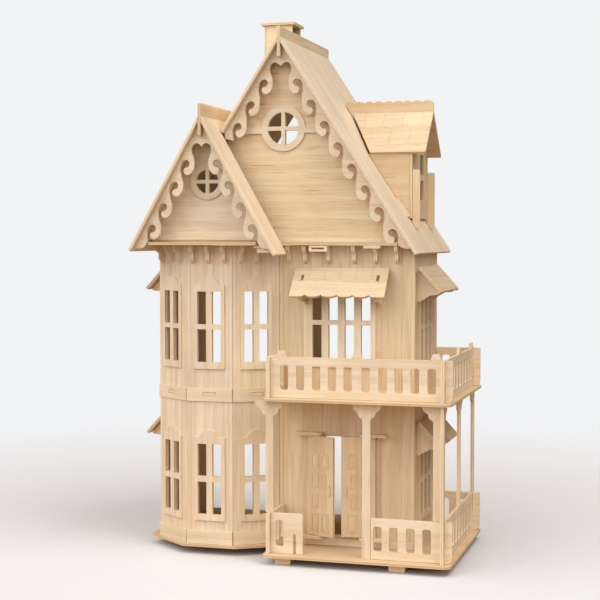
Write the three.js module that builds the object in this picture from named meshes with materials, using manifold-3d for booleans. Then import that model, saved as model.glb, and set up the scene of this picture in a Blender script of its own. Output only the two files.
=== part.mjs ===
// Wooden dollhouse: a two-storey plywood house with an attic, a three-sided bay, a wrap-round porch with a balcony over it,
// two steep gables with scroll-cut bargeboards, a dormer, a chimney and a pair of front doors that swing.
// Every piece is a flat sheet cut-out. Millimetres, +Z up, front towards -Y.
import * as THREE from "three";
import { mergeVertices } from "three/addons/utils/BufferGeometryUtils.js";
import Module from "manifold-3d";

const wasm = await Module();
wasm.setup();

// ---------------------------------------------------------------- driving dimensions
const T = 3; // sheet thickness of every piece
const G = 0.3; // gap kept between neighbouring pieces
const BASE_TOP = 0; // top face of the base plate in the drawing frame
const FOOT_H = 8;
const FLOOR1 = 159.6; // underside of the first floor
const ATTIC = 320; // underside of the attic floor and eave plate
const BALC = 159.6; // underside of the balcony floor
const FRONT_Y = 58.8; // outer face of the front wall
const LEFT_X = -326.6; // outer face of the left wall
const RIGHT_X = -42; // outer face of the right wall
const REAR_Y = 217; // rear edge of the left wall and floors
const RIGHT_REAR_Y = 183; // rear edge of the right wall
const BAY = [ [-326.6, 58.8], [-284, 29], [-232, 29], [-189.4, 58.8] ]; // outer corners of the bay
const PORCH = { x0: -190, x1: 8, y0: -4, y1: 194, r: 8 };
const RAIL_Y = 7; // front face of the front rails and posts
const REAR_RAIL_Y = 179; // front face of the rear rails
const SIDE_X = -3; // inner face of the side rails; their outer face is x = 0
const LEFT_RAIL_X = -186;
const RAIL_TOP = 42.3, BRAIL_TOP = 205; // tops of the porch and balcony rails
const MAIN = { x: -184.3, z: 541, s: 1.54, eave: -35.5, y0: 39, y1: 235 }; // main roof: ridge, slope, right eave, front and rear
const LG = { x: -259.3, z: 457.5, s: 1.77, eaveL: -340, eaveR: -176.3, y0: 2, y1: 235 }; // left gable roof
const VALLEY = -249;
const DOOR = { xl: -154.5, xr: -84, y: 54.5, z0: 12.1, z1: 118.2, w: 34.3, restL: 26, restR: 9 };
const DORMER = { y: 154, half: 43, x: -56, ridge: 468, run: 46, foot: 420, east: -41 };
const CHIM = { x0: -218, x1: -186.4, y0: 97, y1: 130, top: 558.5 };
// drawing frame -> model frame: origin at the centre of the bounding box's bottom
const OFFSET = [173.4628, -115.5, FOOT_H + T];

// ---------------------------------------------------------------- materials
const mat = (c) => new THREE.MeshStandardMaterial({ color: c, roughness: 0.72, metalness: 0 });
const WALL = 0xe9d2ab, TRIM = 0xf0deba, FLOOR = 0xe4caa0, ROOF = 0xecd8b2;

// ---------------------------------------------------------------- helpers
const root = new THREE.Group();
const house = new THREE.Group();
house.position.set(...OFFSET);
root.add(house);

const poly = (pts) => {
  const s = new THREE.Shape();
  pts.forEach(([x, y], i) => (i ? s.lineTo(x, y) : s.moveTo(x, y)));
  s.closePath();
  return s;
};
const area = (p) => p.reduce((a, [x, y], i) => { const [u, v] = p[(i + 1) % p.length]; return a + x * v - u * y; }, 0) / 2;
// a rounded rectangle hole
function slot(x, y, w, h, r = Math.min(w, h) / 2 - 0.01, n = 4) {
  const p = new THREE.Path();
  const pts = [];
  const c = [ [x + w - r, y + r, -90], [x + w - r, y + h - r, 0], [x + r, y + h - r, 90], [x + r, y + r, 180] ];
  for (const [cx, cy, a0] of c)
    for (let i = 0; i <= n; i++) {
      const a = ((a0 + (90 * i) / n) * Math.PI) / 180;
      pts.push([cx + r * Math.cos(a), cy + r * Math.sin(a)]);
    }
  pts.forEach(([u, v], i) => (i ? p.lineTo(u, v) : p.moveTo(u, v)));
  p.closePath();
  return p;
}
const rectHole = (x, y, w, h) => { const p = new THREE.Path(); p.moveTo(x, y); p.lineTo(x + w, y); p.lineTo(x + w, y + h); p.lineTo(x, y + h); p.closePath(); return p; };
const circlePts = (cx, cy, r, n, a0 = 0, a1 = 360) => Array.from({ length: n + 1 }, (_, i) => { const a = ((a0 + ((a1 - a0) * i) / n) * Math.PI) / 180; return [cx + r * Math.cos(a), cy + r * Math.sin(a)]; });
// polygon outline with the listed corners rounded: pts entries are [x, y, r]
function rounded(pts, n = 5) {
  const out = [];
  pts.forEach((p, i) => {
    const r = p[2] || 0;
    if (!r) return out.push([p[0], p[1]]);
    const a = pts[(i + pts.length - 1) % pts.length], b = pts[(i + 1) % pts.length];
    const u = new THREE.Vector2(a[0] - p[0], a[1] - p[1]).normalize(), v = new THREE.Vector2(b[0] - p[0], b[1] - p[1]).normalize();
    const half = Math.acos(THREE.MathUtils.clamp(u.dot(v), -1, 1)) / 2, d = r / Math.tan(half);
    const s = [p[0] + u.x * d, p[1] + u.y * d], e = [p[0] + v.x * d, p[1] + v.y * d];
    const bis = u.clone().add(v).normalize(), cc = [p[0] + (bis.x * r) / Math.sin(half), p[1] + (bis.y * r) / Math.sin(half)];
    let a0 = Math.atan2(s[1] - cc[1], s[0] - cc[0]), a1 = Math.atan2(e[1] - cc[1], e[0] - cc[0]);
    let da = a1 - a0; while (da > Math.PI) da -= 2 * Math.PI; while (da < -Math.PI) da += 2 * Math.PI;
    for (let k = 0; k <= n; k++) out.push([cc[0] + r * Math.cos(a0 + (da * k) / n), cc[1] + r * Math.sin(a0 + (da * k) / n)]);
  });
  return out;
}
// a sheet of thickness t; openings are cut out with booleans so that the faces stay one clean closed surface
function extrude(shape, t = T) {
  const ex = (sh, d) => new THREE.ExtrudeGeometry(sh, { depth: d, bevelEnabled: false, curveSegments: 6, steps: 1 });
  if (!shape.cuts || !shape.cuts.length) return ex(shape, t);
  let s = solid(ex(shape, t));
  for (const c of shape.cuts) {
    const pts = c.getPoints().map((p) => [p.x, p.y]);
    const a = pts[0], b = pts[pts.length - 1];
    if (Math.hypot(a[0] - b[0], a[1] - b[1]) < 1e-6) pts.pop();
    if (area(pts) < 0) pts.reverse();
    s = s.subtract(solid(ex(poly(pts), t + 2).translate(0, 0, -1)));
  }
  return fromSolid(s);
}
function add(name, geometry, color, group = house) {
  const m = new THREE.Mesh(geometry, mat(color));
  m.name = name;
  group.add(m);
  return m;
}
// place a flat sheet: its drawing's x along U, y along V, and its thickness along U x V from origin O
function basis(m, O, U, V) {
  const u = new THREE.Vector3(...U).normalize(), v = new THREE.Vector3(...V).normalize(), w = u.clone().cross(v);
  m.applyMatrix4(new THREE.Matrix4().makeBasis(u, v, w).setPosition(...O));
  return m;
}
const inXY = (name, shape, z0, color = FLOOR, t = T) => basis(add(name, extrude(shape, t), color), [0, 0, z0], [1, 0, 0], [0, 1, 0]);
const inXZ = (name, shape, y0, color = WALL, t = T) => basis(add(name, extrude(shape, t), color), [0, y0 + t, 0], [1, 0, 0], [0, 0, 1]);
const inYZ = (name, shape, x0, color = WALL, t = T) => basis(add(name, extrude(shape, t), color), [x0, 0, 0], [0, 1, 0], [0, 0, 1]);
const withHoles = (pts, holes = []) => { const s = poly(pts); s.cuts = holes; return s; };
// solids for boolean cuts
function solid(g) {
  const h = (g.index ? g.toNonIndexed() : g.clone());
  const b = new THREE.BufferGeometry().setAttribute("position", h.getAttribute("position"));
  const m = mergeVertices(b, 1e-4);
  return new wasm.Manifold(new wasm.Mesh({ numProp: 3, vertProperties: new Float32Array(m.attributes.position.array), triVerts: new Uint32Array(m.index.array) }));
}
function fromSolid(s) {
  const m = s.getMesh(), n = m.numProp, v = new Float32Array(m.numVert * 3);
  for (let i = 0; i < m.numVert; i++) v.set(m.vertProperties.subarray(i * n, i * n + 3), i * 3);
  const g = new THREE.BufferGeometry().setAttribute("position", new THREE.BufferAttribute(v, 3)).setIndex(new THREE.BufferAttribute(new Uint32Array(m.triVerts), 1));
  g.computeVertexNormals();
  return g;
}
const at = (g, x, y, z) => g.clone().translate(x, y, z);

// ---------------------------------------------------------------- windows
// a lattice of panes centred on cx; rows are [z0, z1]
function panes(cx, cols, pw, mull, rows) {
  const total = cols * pw + (cols - 1) * mull, out = [];
  for (let c = 0; c < cols; c++)
    for (const [z0, z1] of rows) out.push(rectHole(cx - total / 2 + c * (pw + mull), z0, pw, z1 - z0));
  return out;
}
const LOW_ROWS = [ [32, 66.9], [73, 107.8] ], UP_ROWS = [ [195.3, 230.4], [235.6, 270.7] ], MAIN_ROWS = [ [199, 235.6], [240.5, 270.7] ];

// ---------------------------------------------------------------- base, feet and floors
inXY("base_plate", poly(rounded([ [-190, -4, 6], [8, -4, PORCH.r], [8, 194, PORCH.r], [-36, 194], [-36, 186], [-100, 220], [-338, 220, 2], [-338, 64, 4], [-288, 24.5], [-229, 24.5], [-196, 44], [-190, 40] ])), -T, FLOOR);
const footShape = () => poly(rounded([ [-8.5, 0, 1.2], [8.5, 0, 1.2], [8.5, FOOT_H - G], [-8.5, FOOT_H - G] ], 2));
const foot = (name, x, y) => basis(add(name, extrude(footShape(), 14), TRIM), [x, y + 14, -T - FOOT_H], [1, 0, 0], [0, 0, 1]);
foot("foot_front_left", -169.5, 5);
foot("foot_front_right", -48.5, 5);
foot("foot_rear_right", -48.5, 170);
foot("foot_rear_left", -312, 196);

// inner outline of the walls with tongues that reach into the wall slots
const inner = [ [-323.3, 60.6], [-283.0, 32.35], [-233.0, 32.35], [-190.7, 62.1], [-45.3, 62.1], [-45.3, 182], [-100, REAR_Y], [-323.3, REAR_Y] ];
const TAB = 7; // half width of a tongue
function tongue(a, b, t, half = TAB, out = T + 0.2) {
  const d = new THREE.Vector2(b[0] - a[0], b[1] - a[1]), L = d.length(); d.divideScalar(L);
  const n = new THREE.Vector2(d.y, -d.x); // outward on a counter-clockwise outline
  const P = (s, o) => [a[0] + d.x * s + n.x * o, a[1] + d.y * s + n.y * o];
  const c = t * L;
  return [P(c - half, 0), P(c - half, out), P(c + half, out), P(c + half, 0)];
}
// counter-clockwise: bay left, bay front, bay right, front, right, rear, left
const PART = { x: -178, y0: 62.6, y1: 199, lap: 130 }; // inner partition: left face, front and rear edges, and where it laps the first floor
const floorPts = [];
inner.forEach((p, i) => {
  const q = inner[(i + 1) % inner.length];
  floorPts.push(p);
  if (i === 0 || i === 1 || i === 2) floorPts.push(...tongue(p, q, 0.5));
  if (i === 3) floorPts.push(...tongue(p, q, 0.12, 6), ...tongue(p, q, 0.88, 6));
  if (i === 4) floorPts.push(...tongue(p, q, 0.12, 6), ...tongue(p, q, 0.85, 6));
  if (i === 6) floorPts.push([PART.x + T + G, REAR_Y], [PART.x + T + G, PART.lap - G], [PART.x - G, PART.lap - G], [PART.x - G, REAR_Y]);
  if (i === 7) floorPts.push(...tongue(p, q, 0.2, 6), ...tongue(p, q, 0.85, 6));
});
inXY("first_floor", poly(floorPts), FLOOR1, FLOOR);
// the attic floor reaches past the walls as the eave plate
inXY("attic_floor", poly([ [-319, 8], [-199.6, 8], [-199.6, 44], [-58, 44], [-58, 46.6], [-74.5, 46.6], [-74.5, 50.4], [-48, 50.4], [-48, 183], [-100, 220], [-331, 220], [-331, 12.6], [-319, 12.6] ]), ATTIC, FLOOR);
// the balcony floor lies outside the front and right walls
inXY("balcony_floor", poly(rounded([ [-190, -4, 6], [8, -4, PORCH.r], [8, 194, PORCH.r], [-41.6, 194], [-41.6, 58.4], [-188.4, 58.4], [-190, 57] ])), BALC, FLOOR);

// ---------------------------------------------------------------- walls
const tabSlot = (c, half = TAB) => rectHole(c - half - G, FLOOR1 - G, 2 * (half + G), T + 2 * G);
// plan of the mitred walls, from the rear of the left wall round the bay to the right end of the front wall
const RUN = [ [LEFT_X, REAR_Y], ...BAY, [RIGHT_X, FRONT_Y] ];
// a wall on run i, drawn x along the run and z up, with its outer face on the run and its ends mitred at the corners
function wallRun(name, i, top, holes, mitreA, mitreB) {
  const a = new THREE.Vector2(...RUN[i]), b = new THREE.Vector2(...RUN[i + 1]), L = a.distanceTo(b), d = b.clone().sub(a).divideScalar(L);
  const x0 = mitreA ? -6 : 0, x1 = mitreB ? L + 6 : L;
  const g = extrude(withHoles(top(x0, x1), holes(L, a, d))).translate(0, 0, -T);
  g.applyMatrix4(new THREE.Matrix4().makeBasis(new THREE.Vector3(d.x, d.y, 0), new THREE.Vector3(0, 0, 1), new THREE.Vector3(d.y, -d.x, 0)).setPosition(a.x, a.y, 0));
  let s = solid(g);
  const cut = (c, mine, other) => { const n = mine.clone().sub(other).normalize(); s = s.trimByPlane([n.x, n.y, 0], n.x * c.x + n.y * c.y + G / 2); };
  if (mitreA) cut(a, d, new THREE.Vector2(...RUN[i - 1]).sub(a).normalize());
  if (mitreB) cut(b, d.clone().negate(), new THREE.Vector2(...RUN[i + 2]).sub(b).normalize());
  return add(name, fromSolid(s), WALL);
}
const fullTop = (x0, x1) => [ [x0, G], [x1, G], [x1, ATTIC - G], [x0, ATTIC - G] ];
const bayHoles = (i) => (L, a, d) => {
  const c = d.x * ((inner[i][0] + inner[i + 1][0]) / 2 - a.x) + d.y * ((inner[i][1] + inner[i + 1][1]) / 2 - a.y); // where the floor's tongue comes through
  return [ ...panes(L / 2, 2, 10, 6.6, LOW_ROWS), ...panes(L / 2, 2, 10, 6.6, UP_ROWS), tabSlot(c) ];
};
const leftX = (y) => REAR_Y - y; // drawing x on the left wall, which runs forwards
wallRun("left_wall", 0, fullTop, () => [ ...panes(leftX(135), 3, 13, 8, LOW_ROWS), ...panes(leftX(135), 3, 13, 8, UP_ROWS), tabSlot(leftX(REAR_Y - 0.2 * 156.4), 6), tabSlot(leftX(REAR_Y - 0.85 * 156.4), 6) ], false, true);
wallRun("bay_left_panel", 1, fullTop, bayHoles(0), true, true);
wallRun("bay_front_panel", 2, fullTop, bayHoles(1), true, true);
wallRun("bay_right_panel", 3, fullTop, bayHoles(2), true, true);
const frontX = (x) => x - BAY[3][0];
wallRun("front_wall", 4, (x0, x1) => [ [x0, G], [x1, G], [x1, 315], [x1 - 3.4, ATTIC - G], [x0, ATTIC - G] ],
  () => [ rectHole(frontX(-153.5), 12, 68.5, 105), ...panes(frontX(-120.5), 4, 10, 7.7, MAIN_ROWS), tabSlot(frontX(-190.7 + 0.12 * 145.4), 6), tabSlot(frontX(-190.7 + 0.88 * 145.4), 6) ], true, false);
inYZ("right_wall", withHoles([ [62.2, G], [RIGHT_REAR_Y, G], [RIGHT_REAR_Y, 315.2], [62.2, 315.2] ],
  [ ...panes(113.5, 3, 13, 8, LOW_ROWS), ...panes(113.5, 3, 13, 8, UP_ROWS), tabSlot(62.1 + 0.12 * 119.9, 6), tabSlot(62.1 + 0.85 * 119.9, 6) ]), RIGHT_X - T);
// inner partition, halved over the first floor
inYZ("partition_wall", withHoles([ [PART.y0, G], [PART.y1, G], [PART.y1, ATTIC - G], [PART.y0, ATTIC - G], [PART.y0, FLOOR1 + T + G], [PART.lap, FLOOR1 + T + G], [PART.lap, FLOOR1 - G], [PART.y0, FLOOR1 - G] ]), PART.x, WALL);

// ---------------------------------------------------------------- rails
// a stepped finial on a rail's top edge, as outline points from right to left
const FINIAL = [ [5.2, 0], [5.2, 1.8], [4.8, 2.6], [4.1, 2.9], [4.1, 4.3], [3.8, 5.5], [2.7, 6.4] ];
const finial = (c, z) => [ ...FINIAL.map(([x, y]) => [c + x, z + y]), ...FINIAL.slice().reverse().map(([x, y]) => [c - x, z + y]) ];
const balSlots = (xs, z0, z1, w = 8.8) => xs.map((x) => slot(x, z0, w, z1 - z0, 2.2, 3));
const LAP = 0.35;
// half outline of a post's stepped capital, and the height that it ends at
const CAP = [ [4.2, -17], [4.6, -15.6], [7.4, -14], [9.2, -11.4], [9.9, -8.4], [11.4, -7.6], [14, -6], [15.4, -3], [15.6, 0] ];
const POST_TOP = BALC - G;
// front balcony rail: from the left rail to 8 mm past the side rail, half-lapped over it from below
const bz0 = BALC + T + G, bMid = 184;
inXZ("balcony_rail_front", withHoles([
  [-182.6, bz0], [SIDE_X - LAP, bz0], [SIDE_X - LAP, bMid + LAP], [LAP, bMid + LAP], [LAP, bz0], [4, bz0], [6.6, bz0 + 1.2], [7.8, bz0 + 4], [7.8, BRAIL_TOP],
  ...finial(-9.4, BRAIL_TOP), ...finial(-90.8, BRAIL_TOP), ...finial(-171.4, BRAIL_TOP), [-182.6, BRAIL_TOP] ],
  balSlots([-172.7, -155.4, -138.3, -121.5, -104.9, -86, -68.3, -51.7, -35.3, -18], 170.9, 196.5)), RAIL_Y, TRIM);
const sideXs = Array.from({ length: 9 }, (_, i) => 19 + 17.2 * i);
const sideOutline = (z0, top, mid, fin) => [
  [0, z0], [189.5, z0], [189.5, top], [REAR_RAIL_Y + T + LAP, top], [REAR_RAIL_Y + T + LAP, mid - LAP], [REAR_RAIL_Y - LAP, mid - LAP], [REAR_RAIL_Y - LAP, top],
  ...(fin ? [ ...finial(171, top), ...finial(93.5, top) ] : []), [RAIL_Y + T + LAP, top], [RAIL_Y + T + LAP, mid - LAP], [RAIL_Y - LAP, mid - LAP], [RAIL_Y - LAP, top], [0, top] ];
inYZ("balcony_rail_side", withHoles(sideOutline(bz0, BRAIL_TOP, bMid, true), balSlots(sideXs, 170.9, 196.5)), SIDE_X, TRIM);
inXZ("balcony_rail_rear", withHoles([
  [-41.4, bz0], [SIDE_X - LAP, bz0], [SIDE_X - LAP, bMid + LAP], [LAP, bMid + LAP], [LAP, bz0], [4, bz0], [6.6, bz0 + 1.2], [7.8, bz0 + 4], [7.8, BRAIL_TOP], [-41.4, BRAIL_TOP] ],
  balSlots([-35.3, -18], 170.9, 196.5)), REAR_RAIL_Y, TRIM);
inYZ("balcony_rail_left", withHoles([ [0, bz0], [57.2, bz0], [57.2, BRAIL_TOP], [0, BRAIL_TOP] ], balSlots([12.5, 28, 43.5], 170.9, 196.5)), LEFT_RAIL_X, TRIM);
// porch rails
const pMid = 22;
inXZ("porch_rail_front_left", withHoles([ [-182.6, G], [-158.6, G], [-158.6, 21], [-155.6, 21], [-155.6, G], [-148.4, G], [-148.4, RAIL_TOP - 1], [-149.4, RAIL_TOP], [-182.6, RAIL_TOP] ],
  balSlots([-177.6], 7.5, 34.6, 8.4)), RAIL_Y, TRIM);
inXZ("porch_rail_front_right", withHoles([
  [-76, G], [4, G], [6.6, 1.5], [7.8, 4.3], [7.8, RAIL_TOP], [LAP, RAIL_TOP], [LAP, pMid - LAP], [SIDE_X - LAP, pMid - LAP], [SIDE_X - LAP, RAIL_TOP], [-76, RAIL_TOP] ],
  balSlots([-73.4, -56.9, -39.4, -22.6], 8.4, 34)), RAIL_Y, TRIM);
// the side rail carries the corner post in one piece, and is lapped over the front and rear rails from above
inYZ("porch_rail_side", withHoles([
  [0, G], [RAIL_Y - LAP, G], [RAIL_Y - LAP, pMid + LAP], [RAIL_Y + T + LAP, pMid + LAP], [RAIL_Y + T + LAP, G],
  [REAR_RAIL_Y - LAP, G], [REAR_RAIL_Y - LAP, pMid + LAP], [REAR_RAIL_Y + T + LAP, pMid + LAP], [REAR_RAIL_Y + T + LAP, G], [189.5, G],
  [189.5, RAIL_TOP], [8.4, RAIL_TOP], ...CAP.map(([x, y]) => [4.2 + x, POST_TOP + y]), [0, POST_TOP] ], balSlots(sideXs, 8.4, 34)), SIDE_X, TRIM);
inXZ("porch_rail_rear", withHoles([ [-41.4, G], [4, G], [6.6, 1.5], [7.8, 4.3], [7.8, RAIL_TOP], [LAP, RAIL_TOP], [LAP, pMid - LAP], [SIDE_X - LAP, pMid - LAP], [SIDE_X - LAP, RAIL_TOP], [-41.4, RAIL_TOP] ],
  balSlots([-35.3, -18], 8.4, 34)), REAR_RAIL_Y, TRIM);
inYZ("porch_rail_left", withHoles([ [0, G], [57.2, G], [57.2, RAIL_TOP], [0, RAIL_TOP] ], balSlots([12.5, 28, 43.5], 8.4, 34)), LEFT_RAIL_X, TRIM);

// ---------------------------------------------------------------- posts with stepped capitals
function postShape(c, half, z0, left = true, right = true) {
  const R = right ? CAP.map(([x, y]) => [c + x, POST_TOP + y]) : [ [c + half, POST_TOP] ];
  const L = left ? CAP.map(([x, y]) => [c - x, POST_TOP + y]).reverse() : [ [c - half, POST_TOP] ];
  return poly([ [c - half, z0], [c + half, z0], ...R, ...L ]);
}
inXZ("post_front_left", postShape(-184.2, 4.2, RAIL_TOP + G), RAIL_Y, TRIM);
inXZ("post_front_middle", postShape(-80.9, 4.6, G), RAIL_Y, TRIM);
inXZ("post_front_right", postShape(-7.7, 4.2, RAIL_TOP + G, true, false), RAIL_Y, TRIM);
inYZ("post_side_middle", postShape(97, 4.2, RAIL_TOP + G), SIDE_X, TRIM);
inYZ("post_side_rear", postShape(185.3, 4.2, RAIL_TOP + G, true, false), SIDE_X, TRIM);

// ---------------------------------------------------------------- doors and their pivot plates
const PIN = 1.5; // half width of a pivot pin
function doorLeaf(name, x, dir, deg) {
  const g = new THREE.Group();
  g.position.set(x, DOOR.y, 0);
  g.rotation.z = (-dir * deg * Math.PI) / 180;
  house.add(g);
  const z0 = DOOR.z0, z1 = DOOR.z1, w = DOOR.w;
  const pts = [ [-1.6, z0], [-PIN, z0], [-PIN, z0 - 2.8], [PIN, z0 - 2.8], [PIN, z0], [w, z0], [w, z1], [PIN, z1], [PIN, z1 + 2.8], [-PIN, z1 + 2.8], [-PIN, z1], [-1.6, z1] ].map(([u, v]) => [dir * u, v]);
  if (area(pts) < 0) pts.reverse();
  const geo = extrude(poly(pts)).translate(0, 0, -T / 2);
  return basis(add(name, geo, WALL, g), [0, 0, 0], [1, 0, 0], [0, 0, 1]);
}
doorLeaf("door_left", DOOR.xl, 1, DOOR.restL);
doorLeaf("door_right", DOOR.xr, -1, DOOR.restR);
function pivotPlate(name, x, z, l = 15, r = 15) {
  const y1 = FRONT_Y - G, hole = new THREE.Path();
  circlePts(x, DOOR.y, 2.5, 16).slice(0, 16).forEach(([u, v], i) => (i ? hole.lineTo(u, v) : hole.moveTo(u, v)));
  hole.closePath();
  inXY(name, withHoles(rounded([ [x - l, y1], [x - l, 47, 4], [x + r, 47, 4], [x + r, y1] ]), [hole]), z, TRIM);
}
pivotPlate("door_pivot_top_left", DOOR.xl, DOOR.z1 + 0.5);
pivotPlate("door_pivot_top_right", DOOR.xr, DOOR.z1 + 0.5);
pivotPlate("door_pivot_bottom_left", DOOR.xl, DOOR.z0 - 0.5 - T, 9.3, 17.5);
pivotPlate("door_pivot_bottom_right", DOOR.xr, DOOR.z0 - 0.5 - T);

// ---------------------------------------------------------------- gables and bargeboards
const inLine = (r, x, extra = 0.35) => r.z - T * Math.hypot(1, r.s) - extra * Math.hypot(1, r.s) - r.s * Math.abs(x - r.x);
const xIn = (r, z, sign, extra = 0.35) => r.x + (sign * (r.z - (T + extra) * Math.hypot(1, r.s) - z)) / r.s;
const cross = (cx, cz, r, mull) => {
  // four pane openings of a round window with a cross of muntins
  const out = [];
  for (let q = 0; q < 4; q++) {
    const h = mull / 2, a0 = Math.asin(h / r), pts = [];
    const n = 6;
    for (let i = 0; i <= n; i++) { const a = a0 + ((Math.PI / 2 - 2 * a0) * i) / n; pts.push([r * Math.cos(a), r * Math.sin(a)]); }
    pts.push([h, h]);
    const rot = (q * Math.PI) / 2, p = new THREE.Path();
    pts.forEach(([x, y], i) => { const X = cx + x * Math.cos(rot) - y * Math.sin(rot), Y = cz + x * Math.sin(rot) + y * Math.cos(rot); i ? p.lineTo(X, Y) : p.moveTo(X, Y); });
    p.closePath(); out.push(p);
  }
  return out;
};
const z0g = ATTIC + T + G;
// main gable wall
{
  const xl = VALLEY + 2.2, xr = xIn(MAIN, z0g, 1), top = inLine(MAIN, MAIN.x + 2);
  inXZ("main_gable_wall", withHoles([ [xl, z0g], [xr, z0g], [MAIN.x + 2, top], [MAIN.x - 2, top], [xl, inLine(MAIN, xl)] ], cross(-184.4, 443.7, 17.2, 4.3)), FRONT_Y, WALL);
}
// left gable wall
{
  const xl = xIn(LG, z0g, -1), xr = xIn(LG, z0g, 1), top = inLine(LG, LG.x + 2);
  inXZ("left_gable_wall", withHoles([ [xl, z0g], [xr, z0g], [LG.x + 2, top], [LG.x - 2, top] ], cross(-259.4, 387.1, 12.6, 3.8)), 29, WALL);
}
// one period of the scroll edge, measured from the scroll's eye, going down the slope on the right-hand side
const SCROLL = [ [-8.97, 2.56], [-9.0, -1.3], [-8.3, -5.6], [-6.0, -9.4], [-1.9, -11.8], [1.7, -10.4], [2.9, -6.9], [1.2, -4.4], [-1.8, -3.9], [-4.0, -0.4], [-2.7, 2.7], [0.1, 3.85], [3.7, 2.5], [6.0, -1.3], [6.9, -6.4], [6.2, -10.9], [5.3, -15.0] ];
const HEART = [ [-17.5, 17.5], [-14.5, 20.3], [-11.1, 21.3], [-7.4, 19.3], [-5.8, 14.7], [-6.8, 9.6], [-8.4, 5.4] ];
const smooth = (pts, n) => new THREE.SplineCurve(pts.map(([x, y]) => new THREE.Vector2(x, y))).getPoints(n).map((p) => [p.x, p.y]);
function scrollEdge(eye, step, count, scale, cx) {
  // right-hand inner edge from the heart's cusp to the last scroll
  const pts = HEART.map(([x, y]) => [eye[0] + x * scale, eye[1] + y * scale]);
  pts[0][0] = cx;
  for (let k = 0; k < count; k++) SCROLL.forEach(([x, y]) => pts.push([eye[0] + k * step[0] + x * scale, eye[1] + k * step[1] + y * scale]));
  return smooth(pts, (HEART.length + count * SCROLL.length) * 2);
}
// the main bargeboard: whole right leg, left leg down to the valley
{
  const eye = [MAIN.x + 17.9, 491.2], step = [14.65, -22.56];
  const R = scrollEdge(eye, step, 8, 1, MAIN.x);
  const L = scrollEdge(eye, step, 3, 1, MAIN.x).map(([x, z]) => [2 * MAIN.x - x, z]);
  const end = R[R.length - 1];
  // right tail below the last scroll, down to the eave tip
  const tail = [ [end[0] + 0.8, 321.6], [end[0] + 3.4, 318.4], [end[0] + 8, 316.8], [end[0] + 12, 316.6] ];
  const outer = [ [xIn(MAIN, 316.6, 1), 316.6], [MAIN.x + 2.2, inLine(MAIN, MAIN.x + 2.2)], [MAIN.x + 2.2, 519], [MAIN.x - 2.2, 519], [MAIN.x - 2.2, inLine(MAIN, MAIN.x - 2.2)] ];
  const xv = VALLEY + 2.6;
  const Lclip = L.filter(([x]) => x > xv + 6);
  const leftEnd = [ [xv, inLine(MAIN, xv)], [xv, inLine(MAIN, xv) - 6] ];
  // outline, counter-clockwise: right edge tip -> up the right line -> apex -> down the left line -> inner edge back up -> down the right scrolls
  const cutL = Lclip.slice().reverse();
  const pts = [ ...outer, ...leftEnd, ...cutL, ...R.slice(1), ...tail ];
  if (area(pts) < 0) pts.reverse();
  inXZ("main_bargeboard", poly(pts), 47, TRIM);
}
{
  const eye = [LG.x + 16.9, 405.4], step = [12.75, -22.55];
  const R = scrollEdge(eye, step, 4, 1, LG.x);
  const L = R.map(([x, z]) => [2 * LG.x - x, z]).reverse();
  const end = R[R.length - 1];
  const tailR = [ [end[0] + 0.8, 325.4], [end[0] + 2, 321.5], [end[0] + 4.2, 318.2], [end[0] + 7, 316.4] ];
  const tailL = tailR.map(([x, z]) => [2 * LG.x - x, z]).reverse();
  const outer = [ [xIn(LG, 316.4, 1), 316.4], [LG.x + 2.2, inLine(LG, LG.x + 2.2)], [LG.x + 2.2, 434.5], [LG.x - 2.2, 434.5], [LG.x - 2.2, inLine(LG, LG.x - 2.2)], [xIn(LG, 316.4, -1), 316.4] ];
  const pts = [ ...outer, ...tailL, ...L, ...R.slice(1), ...tailR ];
  if (area(pts) < 0) pts.reverse();
  inXZ("left_bargeboard", poly(pts), 9, TRIM);
}

// ---------------------------------------------------------------- roofs
const STRIP = T / 2 + G; // half the ridge board and its gap
// a roof panel: outline in plan from the ridge line, with its outer face on the roof line and its head cut plumb beside the ridge board
function roofPanel(name, r, sign, outline) {
  const U = [sign, 0, -r.s], V = [0, sign, 0]; // U x V points outwards
  const L = Math.hypot(1, r.s), N = [ (sign * r.s) / L, 0, 1 / L ];
  const pts = outline.map(([x, y]) => [Math.abs(x - r.x) * L, sign * y]);
  if (area(pts) < 0) pts.reverse();
  const u = new THREE.Vector3(...U).normalize(), v = new THREE.Vector3(...V), w = u.clone().cross(v);
  const g = extrude(poly(pts)).applyMatrix4(new THREE.Matrix4().makeBasis(u, v, w).setPosition(r.x - N[0] * T, 0, r.z - N[2] * T));
  add(name, fromSolid(solid(g).trimByPlane([sign, 0, 0], sign * r.x + STRIP)), ROOF);
}
roofPanel("main_roof_right", MAIN, 1, [ [MAIN.x, MAIN.y0], [MAIN.eave, MAIN.y0], [MAIN.eave, MAIN.y1], [MAIN.x, MAIN.y1] ]);
roofPanel("main_roof_left", MAIN, -1, [ [MAIN.x, MAIN.y0], [VALLEY + 0.3, MAIN.y0], [VALLEY + 0.3, MAIN.y1], [MAIN.x, MAIN.y1] ]);
roofPanel("left_gable_roof_left", LG, -1, [ [LG.x, LG.y0], [LG.eaveL, LG.y0], [LG.eaveL, LG.y1], [LG.x, LG.y1] ]);
roofPanel("left_gable_roof_right", LG, 1, [ [LG.x, LG.y0], [LG.eaveR, LG.y0], [LG.eaveR, 43.5], [VALLEY - 0.3, 43.5], [VALLEY - 0.3, LG.y1], [LG.x, LG.y1] ]);
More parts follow.
